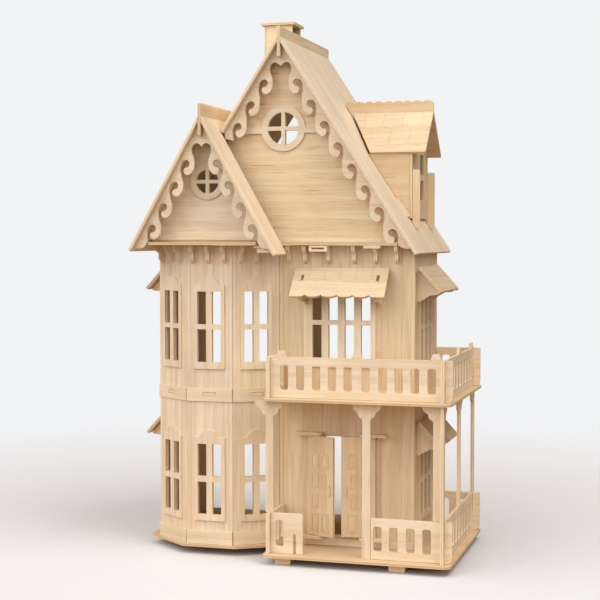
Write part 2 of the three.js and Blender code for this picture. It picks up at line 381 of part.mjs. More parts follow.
// ridge boards stand between the panels; at the front they run down to the bargeboard as a thin finial
inYZ("main_ridge_board", poly([ [39, 517.9], [46.7, 517.9], [46.7, 532.8], [235, 532.8], [235, 549], [40.5, 549.5], [39, 548.6] ]), MAIN.x - T / 2, TRIM);
{
  const pts = [ [2, 433.9], [8.7, 433.9], [8.7, 448.4], [235, 448.4], [235, 466] ];
  const n = 36, dy = (235 - 6) / n;
  for (let i = 0; i < n; i++) { const y = 235 - i * dy; pts.push([y - dy * 0.14, 467.2], [y - dy * 0.5, 468.4], [y - dy * 0.86, 467.2], [y - dy, 466]); }
  pts.push([4, 468], [2, 467.2]);
  inYZ("left_gable_crest", poly(pts), LG.x - T / 2, TRIM);
}

// ---------------------------------------------------------------- chimney
{
  const roofAt = (x) => MAIN.z + MAIN.s * (x - MAIN.x) + 0.45 * Math.hypot(1, MAIN.s);
  const { x0, x1, y0, y1, top } = CHIM;
  // a sleeve open at the foot, cut to the slope, with its right side open above the ridge
  const block = (a, b, c, d) => extrude(poly([ [a, 480], [b, 480], [b, top], [a, top] ]), d - c).rotateX(Math.PI / 2).translate(0, d, 0);
  const body = solid(block(x0, x1, y0, y1)).subtract(solid(block(x0 + T, x1 + 1, y0 + T, y1 - T)));
  const xs = x1 + 5;
  const wedge = extrude(poly([ [x0 - 5, 400], [xs, 400], [xs, roofAt(xs)], [x0 - 5, roofAt(x0 - 5)] ]), 60).rotateX(Math.PI / 2).translate(0, y1 + 10, 0);
  add("chimney_shell", fromSolid(body.subtract(solid(wedge))), WALL);
  inXY("chimney_cap", poly([ [x0 - 3, y0 - 3], [x1 + 3, y0 - 3], [x1 + 3, y1 + 3], [x0 - 3, y1 + 3] ]), top + G, TRIM);
}

// ---------------------------------------------------------------- dormer
{
  const { y, half, x, ridge, run, foot, east } = DORMER;
  const slope = (X, e = 0.35) => MAIN.z - MAIN.s * (X - MAIN.x) + e * Math.hypot(1, MAIN.s);
  const xAt = (z, e = 0.35) => MAIN.x + (MAIN.z + e * Math.hypot(1, MAIN.s) - z) / MAIN.s;
  const rs = (ridge - foot) / run, rl = Math.hypot(1, rs);
  const under = (d, e = 0.35) => ridge - rs * d - (T + e) * rl; // underside of the dormer roof at distance d from its ridge
  // east face with its window
  const zf = slope(x - T);
  inYZ("dormer_face", withHoles([ [y - half, zf], [y + half, zf], [y + half, under(half)], [y + 1, under(1)], [y - 1, under(1)], [y - half, under(half)] ],
    panes(y + 12.2, 1, 21, 6.5, [ [369.6, 390.7], [397.3, 419.4] ])), x - T, WALL);
  // cheeks behind the face, cut to the slope
  for (const [name, y0] of [ ["dormer_cheek_front", y - half], ["dormer_cheek_rear", y + half - T] ]) {
    const zt = under(half), xe = x - T - G;
    inXZ(name, poly([ [xAt(zt), zt], [xe, slope(xe)], [xe, zt] ]), y0, WALL);
  }
  // two roof panels with their heads cut plumb beside the crest board
  for (const [name, sg] of [ ["dormer_roof_front", -1], ["dormer_roof_rear", 1] ]) {
    const w = (d) => xAt(ridge - rs * d - T * rl, 0.5) + 0.4; // west edge clears the slope at the panel's underside
    // drawing x = world x, drawing y = distance along the slope
    const pts = [ [w(0), 0], [east, 0], [east, run], [w(run), run] ].map(([X, d]) => [X, sg * d * rl]);
    if (area(pts) < 0) pts.reverse();
    const u = new THREE.Vector3(1, 0, 0), v = new THREE.Vector3(0, 1, -sg * rs).normalize(), n = u.clone().cross(v);
    const g = extrude(poly(pts)).applyMatrix4(new THREE.Matrix4().makeBasis(u, v, n).setPosition(new THREE.Vector3(0, y, ridge).addScaledVector(n, -T)));
    add(name, fromSolid(solid(g).trimByPlane([0, sg, 0], sg * y + STRIP)), ROOF);
  }
  // crest board with a scalloped top
  const zc = ridge - 4, xw = xAt(zc, 0.5) + 0.3, pts = [ [xw, zc], [east, zc], [east, 476.5] ];
  const n = 9, x1 = east - 1.5, x0 = xAt(477, 0.5) + 1, dx = (x1 - x0) / n;
  for (let i = 0; i < n; i++) { const X = x1 - i * dx; pts.push([X, 477], [X - dx * 0.18, 478.5], [X - dx * 0.5, 479.3], [X - dx * 0.82, 478.5]); }
  pts.push([x0, 477]);
  inXZ("dormer_crest", poly(pts), y - T / 2, TRIM);
  // open shutters standing out of the face
  for (const [name, y0] of [ ["dormer_shutter_front", y - half + 1], ["dormer_shutter_rear", y + half - 1 - T] ]) {
    const xa = x + G, xb = x + 8.4, low = 338;
    inXZ(name, poly([ [xa, slope(xa)], [xAt(low), low], [xb, low], [xb, 399.8], [xb - 1.2, 401], [xa, 401] ]), y0, TRIM);
  }
}

// ---------------------------------------------------------------- awnings
// a sloping sheet with a scalloped lower edge; drawing x along the wall, y down the slope
function awningShape(w, len, lobes, slots = []) {
  const pts = [ [0, 0], [0, -len + 0.8], [0.8, -len] ];
  const d = w / lobes;
  for (let i = 0; i < lobes; i++) for (let k = 1; k <= 8; k++) { const a = Math.PI * (k / 8); if ((i === 0 && k < 4) || (i === lobes - 1 && k > 4)) continue; pts.push([i * d + (d / 2) * (1 - Math.cos(a)), -len + 3.2 - 3.2 * Math.sin(a)]); }
  pts.push([w - 0.8, -len], [w, -len + 0.8], [w, 0]);
  return withHoles(pts, slots);
}
function awning(name, O, U, outDir, w, lobes, out, drop) {
  // O is the upper edge's start on the wall side
  const V = [ -outDir[0] * out, -outDir[1] * out, drop ];
  const s = awningShape(w, Math.hypot(out, drop), lobes, [ rectHole(8.6, -17.5, 3.2, 8), rectHole(w - 11.8, -17.5, 3.2, 8) ]);
  return basis(add(name, extrude(s), ROOF), O, U, V);
}
const inset = 2.6; // the sheet's upper edge stands this far out so that its back corner clears the wall
awning("awning_front", [-169.8, FRONT_Y - inset, 294.3], [1, 0, 0], [0, -1], 102, 6, 25.5, 29.5);
awning("awning_right_upper", [RIGHT_X + inset, 62.5, 295.6], [0, 1, 0], [1, 0], 102, 6, 23.5, 26);
awning("awning_right_lower", [RIGHT_X + inset, 62.5, 133.4], [0, 1, 0], [1, 0], 102, 6, 23.5, 26);
awning("awning_left_upper", [LEFT_X - inset, 184, 295.6], [0, -1, 0], [-1, 0], 98, 6, 23.5, 26);
awning("awning_left_lower", [LEFT_X - inset, 184, 133.4], [0, -1, 0], [-1, 0], 98, 6, 23.5, 26);

export default root;
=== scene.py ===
"""Wooden dollhouse: plywood looks, trims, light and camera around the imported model. Blender 4.5, metres."""

import math

import bmesh
import bpy
from mathutils import Matrix, Vector
from mathutils.geometry import tessellate_polygon


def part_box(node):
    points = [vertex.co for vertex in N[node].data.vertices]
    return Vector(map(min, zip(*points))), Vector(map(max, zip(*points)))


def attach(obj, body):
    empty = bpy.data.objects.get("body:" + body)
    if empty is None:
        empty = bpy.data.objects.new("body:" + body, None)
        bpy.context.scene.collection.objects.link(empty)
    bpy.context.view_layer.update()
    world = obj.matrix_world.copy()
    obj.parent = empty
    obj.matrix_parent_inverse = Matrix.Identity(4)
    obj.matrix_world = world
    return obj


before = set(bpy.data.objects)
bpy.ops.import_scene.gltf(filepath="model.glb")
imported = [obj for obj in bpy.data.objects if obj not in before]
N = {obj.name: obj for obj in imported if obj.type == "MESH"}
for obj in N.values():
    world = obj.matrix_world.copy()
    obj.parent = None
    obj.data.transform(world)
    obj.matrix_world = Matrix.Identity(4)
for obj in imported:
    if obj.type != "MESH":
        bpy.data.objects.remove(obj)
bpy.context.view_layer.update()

# drawing frame of the trims: millimetres, top of the base plate at z 0, outer face of the side rail at x 0
OFF = Vector((173.4628, -115.5, 11.0))
T = 3.0


def P(x, y, z):
    return (Vector((x, y, z)) + OFF) / 1000


def srgb(r, g, b):
    def f(c):
        c /= 255
        return c / 12.92 if c <= 0.04045 else ((c + 0.055) / 1.055) ** 2.4

    return (f(r), f(g), f(b), 1.0)


# ---------------------------------------------------------------- plywood
FACE_A, FACE_B = srgb(233, 214, 184), srgb(225, 201, 166)  # pale and warm bands of the face veneer
FIBRE = srgb(196, 152, 108)
PLY_LIGHT, PLY_DARK = srgb(238, 220, 188), srgb(216, 184, 142)
GROOVE = srgb(165, 122, 82)


class Graph:
    """Short helpers for a material's node tree."""

    def __init__(self, mat):
        self.t = mat.node_tree
        self.t.nodes.clear()

    def new(self, kind, **props):
        n = self.t.nodes.new(kind)
        for k, v in props.items():
            setattr(n, k, v)
        return n

    def put(self, socket, value):
        if isinstance(value, bpy.types.NodeSocket):
            self.t.links.new(value, socket)
        else:
            socket.default_value = value

    def math(self, op, a, b=0.0, c=None, clamp=False):
        n = self.new("ShaderNodeMath", operation=op, use_clamp=clamp)
        self.put(n.inputs[0], a)
        self.put(n.inputs[1], b)
        if c is not None:
            self.put(n.inputs[2], c)
        return n.outputs[0]

    def dot(self, vec, v):
        n = self.new("ShaderNodeVectorMath", operation="DOT_PRODUCT")
        self.put(n.inputs[0], vec)
        n.inputs[1].default_value = v
        return n.outputs["Value"]

    def join(self, x, y, z):
        n = self.new("ShaderNodeCombineXYZ")
        for i, v in enumerate((x, y, z)):
            self.put(n.inputs[i], v)
        return n.outputs[0]

    def noise(self, vec, scale, detail=2.0, rough=0.5, distortion=0.0):
        n = self.new("ShaderNodeTexNoise")
        self.put(n.inputs["Vector"], vec)
        n.inputs["Scale"].default_value = scale
        n.inputs["Detail"].default_value = detail
        n.inputs["Roughness"].default_value = rough
        n.inputs["Distortion"].default_value = distortion
        return n.outputs["Fac"]

    def ramp(self, v, a, b, lo=0.0, hi=1.0):
        n = self.new("ShaderNodeMapRange", interpolation_type="SMOOTHSTEP")
        self.put(n.inputs["Value"], v)
        n.inputs["From Min"].default_value = a
        n.inputs["From Max"].default_value = b
        n.inputs["To Min"].default_value = lo
        n.inputs["To Max"].default_value = hi
        return n.outputs["Result"]

    def mix(self, f, a, b, mode="MIX"):
        n = self.new("ShaderNodeMix", data_type="RGBA", blend_type=mode)
        self.put(n.inputs[0], f)
        self.put(n.inputs[6], a)
        self.put(n.inputs[7], b)
        return n.outputs[2]


def plywood(name, n, g, mid, seed, engrave=None, tint=(1.0, 1.0, 1.0), streak=1.0, depth=0.3):
    """Procedural plywood for a flat sheet: n its normal, g the grain's direction, mid its mid-plane's offset along n."""
    n, g = Vector(n).normalized(), Vector(g)
    g = (g - n * g.dot(n)).normalized()
    a = n.cross(g)
    mat = bpy.data.materials.new(name)
    mat.use_nodes = True
    q = Graph(mat)
    tc = q.new("ShaderNodeTexCoord")
    pos, nor = tc.outputs["Object"], tc.outputs["Normal"]
    x, y, z = q.dot(pos, a), q.dot(pos, g), q.math("SUBTRACT", q.dot(pos, n), mid)
    off = 3.71 * seed
    side = q.ramp(q.math("ABSOLUTE", q.dot(nor, n)), 0.55, 0.85, 1.0, 0.0)  # 1 on the cut edges

    def field(kx, ky, kz, scale, detail, rough=0.5, shift=0.0, distortion=0.0):
        v = q.join(q.math("MULTIPLY_ADD", x, kx, off + shift), q.math("MULTIPLY", y, ky), q.math("MULTIPLY", z, kz))
        return q.noise(v, scale, detail, rough, distortion)

    # slow bands of early and late wood, wavering along the grain
    sway = field(9, 3.2, 1, 1.0, 1.0, shift=5)
    band = q.noise(
        q.join(q.math("MULTIPLY_ADD", x, 150, q.math("MULTIPLY", sway, 6.0)), q.math("MULTIPLY", y, 4.0), off), 1.0, 2.0, 0.55
    )
    fine = field(620, 26, 60, 1.0, 3.0, 0.6, shift=11)
    fleck = field(330, 17, 30, 1.0, 2.0, 0.5, shift=23)
    cloud = field(22, 14, 1, 1.0, 2.0, shift=31)
    col = q.mix(q.ramp(band, 0.36, 0.66), FACE_A, FACE_B)
    col = q.mix(q.math("MULTIPLY", q.ramp(fine, 0.48, 0.78), 0.30 * streak), col, FIBRE)
    col = q.mix(q.math("MULTIPLY", q.ramp(fleck, 0.62, 0.76), 0.42 * streak), col, FIBRE)
    shade = q.ramp(cloud, 0.3, 0.7, 0.94, 1.04)
    # the three plies on the cut edges, with end-grain speckle
    layer = q.ramp(q.math("ABSOLUTE", z), 0.00042, 0.00058)
    ply = q.mix(layer, PLY_DARK, PLY_LIGHT)
    speck = q.noise(pos, 900.0, 2.0, 0.6)
    ply = q.mix(q.math("MULTIPLY", q.ramp(speck, 0.45, 0.75), 0.25), ply, FIBRE)
    col = q.mix(side, col, ply)
    line = None
    if engrave:
        line = q.math("MULTIPLY", engrave(q, x, y, pos, nor), q.math("SUBTRACT", 1.0, side))
        col = q.mix(q.math("MULTIPLY", line, depth), col, GROOVE)
    val = q.new("ShaderNodeVectorMath", operation="SCALE")
    q.put(val.inputs[0], col)
    q.put(val.inputs["Scale"], shade)
    # the tint multiplies in the sheet's painted light and shade together with its small random tone change
    tinted = q.new("ShaderNodeVectorMath", operation="MULTIPLY")
    q.put(tinted.inputs[0], val.outputs[0])
    tinted.inputs[1].default_value = tint
    bsdf = q.new("ShaderNodeBsdfPrincipled")
    q.put(bsdf.inputs["Base Color"], tinted.outputs[0])
    q.put(bsdf.inputs["Roughness"], q.ramp(fine, 0.3, 0.8, 0.56, 0.74))
    bsdf.inputs["Specular IOR Level"].default_value = 0.32
    height = q.math("MULTIPLY", fine, 0.00006)
    if line is not None:
        height = q.math("MULTIPLY_ADD", line, -0.00018, height)
    bump = q.new("ShaderNodeBump")
    bump.inputs["Strength"].default_value = 0.7
    bump.inputs["Distance"].default_value = 1.0
    q.put(bump.inputs["Height"], height)
    q.put(bsdf.inputs["Normal"], bump.outputs[0])
    out = q.new("ShaderNodeOutputMaterial")
    q.put(out.inputs[0], bsdf.outputs[0])
    return mat


# ---------------------------------------------------------------- engraved patterns
def planks(pitch, phase, width=0.5, along=None, extra=()):
    """Parallel engraved lines every pitch mm, counted along the unit vector along, with single lines at extra."""

    def make(q, x, y, pos, nor):
        s = q.math("MULTIPLY", q.dot(pos, along), 1000.0)
        d = q.math("PINGPONG", q.math("SUBTRACT", s, phase), pitch / 2)
        for e in extra:
            d = q.math("MINIMUM", d, q.math("ABSOLUTE", q.math("SUBTRACT", s, e)))
        return q.ramp(d, width * 0.35, width * 0.75, 1.0, 0.0)

    return make


def shingles(across, down, o, w, h, arc, skip_from=1e9, width=0.6):
    """Rows of round-ended shingles: across and down are unit vectors, o the row origin, w and h their size in mm."""

    def make(q, x, y, pos, nor):
        u = q.math("MULTIPLY_ADD", q.dot(pos, across), 1000.0, -Vector(across).dot(o) * 1000)
        v = q.math("MULTIPLY_ADD", q.dot(pos, down), 1000.0, -Vector(down).dot(o) * 1000)
        row = q.math("FLOOR", q.math("DIVIDE", v, h))
        shift = q.math("MULTIPLY", q.math("MODULO", q.math("ADD", row, 40.0), 2.0), 0.5)
        f = q.math("SUBTRACT", q.math("FRACT", q.math("ADD", q.math("DIVIDE", u, w), shift)), 0.5)
        t = q.math("SUBTRACT", v, q.math("MULTIPLY", row, h))  # 0 at the row's head, h at its foot
        s = q.math("MULTIPLY", f, 2.0)
        root = q.math("SQRT", q.math("MAXIMUM", q.math("SUBTRACT", 1.0, q.math("MULTIPLY", s, s)), 0.0))
        foot = q.math("SUBTRACT", h - 0.4, q.math("MULTIPLY", q.math("SUBTRACT", 1.0, root), arc))
        d1 = q.math("ABSOLUTE", q.math("SUBTRACT", t, foot))
        d2 = q.math("ADD", q.math("MULTIPLY", q.math("SUBTRACT", 0.5, q.math("ABSOLUTE", f)), w), q.math("MULTIPLY", q.math("GREATER_THAN", t, foot), 99.0))
        d = q.math("MINIMUM", d1, d2)
        m = q.ramp(d, width * 0.35, width * 0.75, 1.0, 0.0)
        return q.math("MULTIPLY", m, q.math("LESS_THAN", v, skip_from))

    return make


# ---------------------------------------------------------------- carried-over sheets
def sheet_of(obj):
    """The sheet's normal and the offset of its mid-plane: the direction with most face area."""
    bins = {}
    for f in obj.data.polygons:
        n = f.normal
        if n.x < -1e-4 or (abs(n.x) <= 1e-4 and (n.y < -1e-4 or (abs(n.y) <= 1e-4 and n.z < 0))):
            n = -n
        k = (round(n.x, 2), round(n.y, 2), round(n.z, 2))
        e = bins.setdefault(k, [0.0, Vector((0, 0, 0))])
        e[0] += f.area
        e[1] += n * f.area
    best = max(bins.values(), key=lambda e: e[0])
    n = best[1].normalized()
    d = [v.co.dot(n) for v in obj.data.vertices]
    return n, (min(d) + max(d)) / 2


def soften(obj, width=0.00028, segments=2):
    w = obj.modifiers.new("weld", "WELD")
    w.merge_threshold = 1e-6
    b = obj.modifiers.new("soft edges", "BEVEL")
    b.width = width
    b.segments = segments
    b.limit_method = "ANGLE"
    b.angle_limit = math.radians(38)
    b.harden_normals = False
    return obj


def dress(obj, mat):
    obj.data.materials.clear()
    obj.data.materials.append(mat)
    for p in obj.data.polygons:
        p.material_index = 0


X, Y, Z = Vector((1, 0, 0)), Vector((0, 1, 0)), Vector((0, 0, 1))
GRAIN = {}
for k in N:
    GRAIN[k] = Z if any(s in k for s in ("wall", "panel", "post", "chimney_shell", "door_left", "door_right")) else X
for k in ("main_gable_wall", "left_gable_wall", "main_bargeboard", "left_bargeboard"):
    GRAIN[k] = X
for k in ("balcony_rail_side", "balcony_rail_left", "porch_rail_left", "main_ridge_board", "left_gable_crest", "awning_right_upper", "awning_right_lower", "awning_left_upper", "awning_left_lower"):
    GRAIN[k] = Y
for k in ("main_roof_right", "main_roof_left", "left_gable_roof_left", "left_gable_roof_right", "dormer_face", "dormer_shutter_front", "dormer_shutter_rear", "porch_rail_side"):
    GRAIN[k] = Z

BAY = [Vector((-326.6, 58.8, 0)), Vector((-284, 29, 0)), Vector((-232, 29, 0)), Vector((-189.4, 58.8, 0))]
ENGRAVE = {
    "front_wall": planks(21.5, 1000 * P(-141.6, 0, 0).x, along=X, extra=[1000 * P(v, 0, 0).x for v in (-46.2, -185.0)]),
    "right_wall": planks(21.5, 1000 * P(0, 113.5, 0).y + 10.75, along=Y, extra=[1000 * P(0, v, 0).y for v in (66.3,)]),
    "left_wall": planks(21.5, 1000 * P(0, 135, 0).y + 10.75, along=Y, extra=[1000 * P(0, v, 0).y for v in (65.0,)]),
}
for i, k in enumerate(("bay_left_panel", "bay_front_panel", "bay_right_panel")):
    a, b = BAY[i], BAY[i + 1]
    d = (b - a).normalized()
    base = (a + OFF).dot(d)
    L = (b - a).length
    ENGRAVE[k] = planks(10.6, base + L / 2 + 5.3, along=d, extra=[base + 4.6, base + L - 4.6])
rs = 48 / 46
rl = math.hypot(1, rs)
for k, sg in (("dormer_roof_front", -1), ("dormer_roof_rear", 1)):
    down = Vector((0, sg, -rs)) / rl
    ENGRAVE[k] = shingles(X, down, P(-41, 154, 468) - down * 0.0242, 21.5, 26.7, 5.5, skip_from=81)


def awning_pattern(o, across, out, drop, w):
    L = math.hypot(out.length, drop)
    down = (out + Vector((0, 0, -drop))) / L
    return shingles(across, down, P(*o) - down * 0.0, w, 0.47 * L, 5.0, skip_from=0.52 * L)


ENGRAVE["awning_front"] = awning_pattern((-169.8, 56.2, 294.3), X, Vector((0, -25.5, 0)), 29.5, 17.0)
for k, zt in (("awning_right_upper", 295.6), ("awning_right_lower", 133.4)):
    ENGRAVE[k] = awning_pattern((-39.4, 62.5, zt), Y, Vector((23.5, 0, 0)), 26, 17.0)
for k, zt in (("awning_left_upper", 295.6), ("awning_left_lower", 133.4)):
    ENGRAVE[k] = awning_pattern((-329.2, 184, zt), Y, Vector((-23.5, 0, 0)), 26, 16.33)

# per-sheet tints that paint light and shade into the colour: the paler tint is painted light on lit sheets and trims,
# the browner tints are painted shade on the floors, dormer cheeks, doors, main gable wall, dormer roofs, awnings and
# crests
PAINTED_LIGHT_TINT, WALLS = (1.03, 1.08, 1.17), (1.0, 1.0, 1.0)
PAINTED_LIGHT_SHADE_TINT = {k: (0.92, 0.86, 0.80) for k in ("base_plate", "balcony_floor", "first_floor", "attic_floor")}
PAINTED_LIGHT_SHADE_TINT.update({k: (0.96, 0.92, 0.88) for k in ("dormer_cheek_front", "dormer_cheek_rear", "dormer_face")})
PAINTED_LIGHT_SHADE_TINT.update({k: (0.97, 0.94, 0.91) for k in ("door_left", "door_right")})
PAINTED_LIGHT_SHADE_TINT.update({k: (1.0, 0.985, 0.965) for k in ("main_gable_wall",)})
PAINTED_LIGHT_SHADE_TINT.update({k: (0.86, 0.84, 0.83) for k in ("dormer_roof_front", "dormer_roof_rear")})
PAINTED_LIGHT_SHADE_TINT.update({k: (0.86, 0.84, 0.83) for k in N if k.startswith("awning_")})
PAINTED_LIGHT_SHADE_TINT.update({k: (0.90, 0.85, 0.80) for k in ("left_gable_crest", "dormer_crest")})
PAINTED_LIGHT_SHADE_TINT.update({k: PAINTED_LIGHT_TINT for k in N if k.startswith(("post_", "balcony_rail", "porch_rail", "main_roof", "left_gable_roof", "bay_", "left_gable_wall", "left_bargeboard", "main_bargeboard"))})

STREAK = {"main_gable_wall": 1.9, "left_gable_wall": 1.4, "main_roof_right": 0.8, "front_wall": 1.25}
for i, k in enumerate(sorted(N)):
    o = N[k]
    n, mid = sheet_of(o)
    if k.startswith("foot_"):
        n, mid = Z, 0.0
    if k == "chimney_shell":
        n, mid = Vector((1, 0, 0)), o.data.vertices[0].co.x
        lo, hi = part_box(k)
        mid = lo.x + 0.0015
    # a small random tone change per sheet, times the sheet's painted light and shade tint
    tone = 1.0 + 0.03 * math.sin(7.3 * i)
    dress(o, plywood("ply_" + k, n, GRAIN[k] if abs(GRAIN[k].dot(n)) < 0.9 else X if abs(n.x) < 0.5 else Z, mid, i + 1, ENGRAVE.get(k), tuple(tone * c for c in PAINTED_LIGHT_SHADE_TINT.get(k, WALLS)), STREAK.get(k, 1.0)))
    soften(o)


# ---------------------------------------------------------------- trims
def plate(name, outline, O, U, V, t=T, holes=(), body="house", grain=None, slot="plywood_trim", engrave=None, bevel=0.00025, seed=None):
    """A cut sheet: outline and holes in mm in the plane of U and V from O, t thick along U x V."""
    U, V = Vector(U).normalized(), Vector(V).normalized()
    W = U.cross(V)
    loops = [list(outline)] + [list(h) for h in holes]
    flat, ring = [], []
    for lp in loops:
        ring.append((len(flat), len(lp)))
        flat += lp
    tris = tessellate_polygon([[Vector((p[0], p[1], 0)) for p in lp] for lp in loops])
    bm = bmesh.new()
    O = Vector(O)
    lo = [bm.verts.new((O + U * p[0] + V * p[1] + OFF) / 1000) for p in flat]
    hi = [bm.verts.new((O + U * p[0] + V * p[1] + W * t + OFF) / 1000) for p in flat]
    for tri in tris:
        i, j, k = tri
        if (flat[j][0] - flat[i][0]) * (flat[k][1] - flat[i][1]) - (flat[j][1] - flat[i][1]) * (flat[k][0] - flat[i][0]) < 0:
            j, k = k, j
        bm.faces.new((hi[i], hi[j], hi[k]))
        bm.faces.new((lo[i], lo[k], lo[j]))
    for s, c in ring:
        for i in range(c):
            p, r = s + i, s + (i + 1) % c
            bm.faces.new((lo[p], lo[r], hi[r], hi[p]))
    bmesh.ops.recalc_face_normals(bm, faces=bm.faces)
    me = bpy.data.meshes.new(name)
    bm.to_mesh(me)
    bm.free()
    ob = bpy.data.objects.new(name, me)
    bpy.context.scene.collection.objects.link(ob)
    mid = ((O + W * (t / 2) + OFF) / 1000).dot(W)
    if seed is None:
        seed = 60 + sum(ord(c) * (i + 3) for i, c in enumerate(name)) % 97
    # trims take the paler tint, which is painted light; door pieces take the doors' painted shade tint
    me.materials.append(plywood("ply_" + name, W, grain if grain is not None else V, mid, seed, engrave, PAINTED_LIGHT_SHADE_TINT.get(body, PAINTED_LIGHT_TINT)))
    if bevel:
        soften(ob, bevel)
    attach(ob, body)
    return ob


def box_ring(x0, y0, x1, y1):
    return [(x0, y0), (x1, y0), (x1, y1), (x0, y1)]


def pane_holes(cx, cols, pw, mull, rows):
    total = cols * pw + (cols - 1) * mull
    return [box_ring(cx - total / 2 + c * (pw + mull), z0, cx - total / 2 + c * (pw + mull) + pw, z1) for c in range(cols) for z0, z1 in rows]


LOW, UP, MAINR = [(32, 66.9), (73, 107.8)], [(195.3, 230.4), (235.6, 270.7)], [(199, 235.6), (240.5, 270.7)]
CROWN = [(17.5, 0), (12.6, -0.2), (11.2, 0.7), (9.6, 3.2), (7.4, 5.9), (4.9, 7.4), (2.4, 8.0), (0, 8.15)]


def casing(c, z0, shoulder):
    top = [(c + x, shoulder + y) for x, y in CROWN] + [(c - x, shoulder + y) for x, y in CROWN[-2::-1]]
    return [(c - 17.5, z0), (c + 17.5, z0)] + top


# bay: casings with ogee crowns, skirting, first-floor band and corbels on each facet
CORBEL = [(0, 0), (11.2, 0), (11.2, -3.4), (10.4, -5.4), (8.4, -7.2), (6.2, -8.4), (5.4, -10.2), (5.9, -12.6), (5.6, -15.2), (3.2, -17.6), (1.2, -19.0), (0, -19.3)]
CENTRES = []
for i, k in enumerate(("left", "front", "right")):
    a, b = BAY[i], BAY[i + 1]
    d = (b - a).normalized()
    L = (b - a).length
    out = Vector((d.y, -d.x, 0))
    c = L / 2
    plate(f"casing_bay_{k}_upper", casing(c, 188.1, 278.3), a, d, Z, 2.0, pane_holes(c, 2, 10, 6.6, UP), grain=Z)
    plate(f"casing_bay_{k}_lower", casing(c, 25.2, 114.9), a, d, Z, 2.0, pane_holes(c, 2, 10, 6.6, LOW), grain=Z)
    e0 = 0.1 if i == 0 else 0.15
    plate(f"skirting_bay_{k}", box_ring(e0, 0.2, L - 0.2 if i < 2 else L - 4, 14), a, d, Z, 2.2 if i else 1.6, grain=d)
    q0, q1 = c - 7.3, c + 7.3
    plate(f"band_bay_{k}", box_ring(0.15, 153.3, L - (0.15 if i < 2 else 4.6), 167.2), a, d, Z, 1.4, [box_ring(q0, 159.2, q1, 163)], grain=d)
    plate(f"band_tongue_{k}", box_ring(q0 + 0.3, 159.5, q1 - 0.3, 162.7), a, d, Z, 1.15, grain=d, bevel=0.0002)
    for j, f in enumerate((0.16, 0.5, 0.84)):
        if i == 2 and j == 2:
            continue
        o = a + d * (L * f + 1.5) + Vector((0, 0, 319.7))
        plate(f"corbel_bay_{k}_{j + 1}", CORBEL, o, out, Z, 3.5, grain=Z)
# strips glued inside the mitred corners
RUN = [Vector((-326.6, 217, 0))] + BAY + [Vector((-42, 58.8, 0))]
for i in range(1, 5):
    c, pa, pb = RUN[i], RUN[i - 1], RUN[i + 1]
    da, db = (pa - c).normalized(), (pb - c).normalized()
    sd = (da - db).normalized()  # across the bisector
    inn = Vector((-sd.y, sd.x, 0))
    if inn.dot(Vector((-200, 130, 0)) - c) < 0:
        inn = -inn
    half = math.acos(max(-1, min(1, da.dot(db)))) / 2
    reach = T / math.sin(half) + 0.15
    wdt = 2.2
    o = c + inn * reach
    for zlo, zhi, tag in ((0.4, 158.9, "lower"), (163.3, 319.4, "upper")):
        if (db.cross(da)).z * 1 < 0 and i == 4:
            pts = [(-wdt, 0.9), (wdt, 0.9), (wdt, 2.4), (-wdt, 2.4)]
        else:
            pts = [(-wdt, 0.9), (0, 0.05), (wdt, 0.9), (wdt, 2.0), (-wdt, 2.0)]
        if i == 4:
            pts = [(-1.2, 0.4), (1.2, 0.4), (2.2, 2.2), (-2.2, 2.2)]
        plate(f"corner_strip_{i}_{tag}", pts, o + Z * zlo, sd, inn, (zhi - zlo) * (1 if sd.cross(inn).z > 0 else 1), grain=Z) if sd.cross(inn).z > 0 else plate(f"corner_strip_{i}_{tag}", [(-x, y) for x, y in pts][::-1], o + Z * zlo, -sd, inn, zhi - zlo, grain=Z)
# main front: window casing, corbels, skirting, band over the balcony
FY = 58.8


def front(name, outline, y1, t, holes=(), **kw):
    """A plate facing the front, with its rear face at y1."""
    return plate(name, outline, (0, y1, 0), X, Z, t, holes, **kw)


front("casing_main_window", box_ring(-162, 190.4, -83.4, 291), FY - 0.05, 1.6, pane_holes(-120.5, 4, 10, 7.7, MAINR), grain=Z)
for j, cx in enumerate((-177.2, -159.4, -134.1, -105.8, -82.6, -60.2)):
    plate(f"corbel_front_{j + 1}", CORBEL, Vector((cx + 1.75, FY - 0.05, 319.7)), (0, -1, 0), Z, 3.5, grain=Z)
front("skirting_front", box_ring(-187.6, 0.2, -42.1, 8.2), FY - 0.05, 1.8, grain=X)
front("jamb_left", box_ring(-158.9, 12.2, -154.0, 116), FY - 0.05, 0.9, grain=Z)
front("jamb_right", box_ring(-84.5, 12.2, -79.4, 116), FY - 0.05, 0.9, grain=Z)
front("ledger_front", box_ring(-187.6, 163.2, -42.1, 167.4), FY - 0.05, 1.3, grain=X)
# side walls: casings
RX, LX = -42, -326.6
for tag, z0, z1, rows in (("upper", 187.6, 287, UP), ("lower", 25.0, 124.6, LOW)):
    plate(f"casing_right_{tag}", box_ring(113.5 - 33.5, z0, 113.5 + 33.5, z1), (RX + 0.02, 0, 0), Y, Z, 1.6, pane_holes(113.5, 3, 13, 8, rows), grain=Z)
    plate(f"casing_left_{tag}", [(-x, z) for x, z in box_ring(135 - 33.5, z0, 135 + 33.5, z1)][::-1], (LX - 0.02, 0, 0), (0, -1, 0), Z, 1.6, [[(-x, z) for x, z in h][::-1] for h in pane_holes(135, 3, 13, 8, rows)], grain=Z)
plate("skirting_right", box_ring(62.4, 0.2, 183, 14), (RX + 0.02, 0, 0), Y, Z, 1.8, grain=Y)
plate("skirting_left", box_ring(-217, 0.2, -61.2, 14), (LX - 0.02, 0, 0), (0, -1, 0), Z, 1.6, grain=Y)


# round windows
def ring(c, z, r, n=48):
    return [(c + r * math.cos(2 * math.pi * i / n), z + r * math.sin(2 * math.pi * i / n)) for i in range(n)]


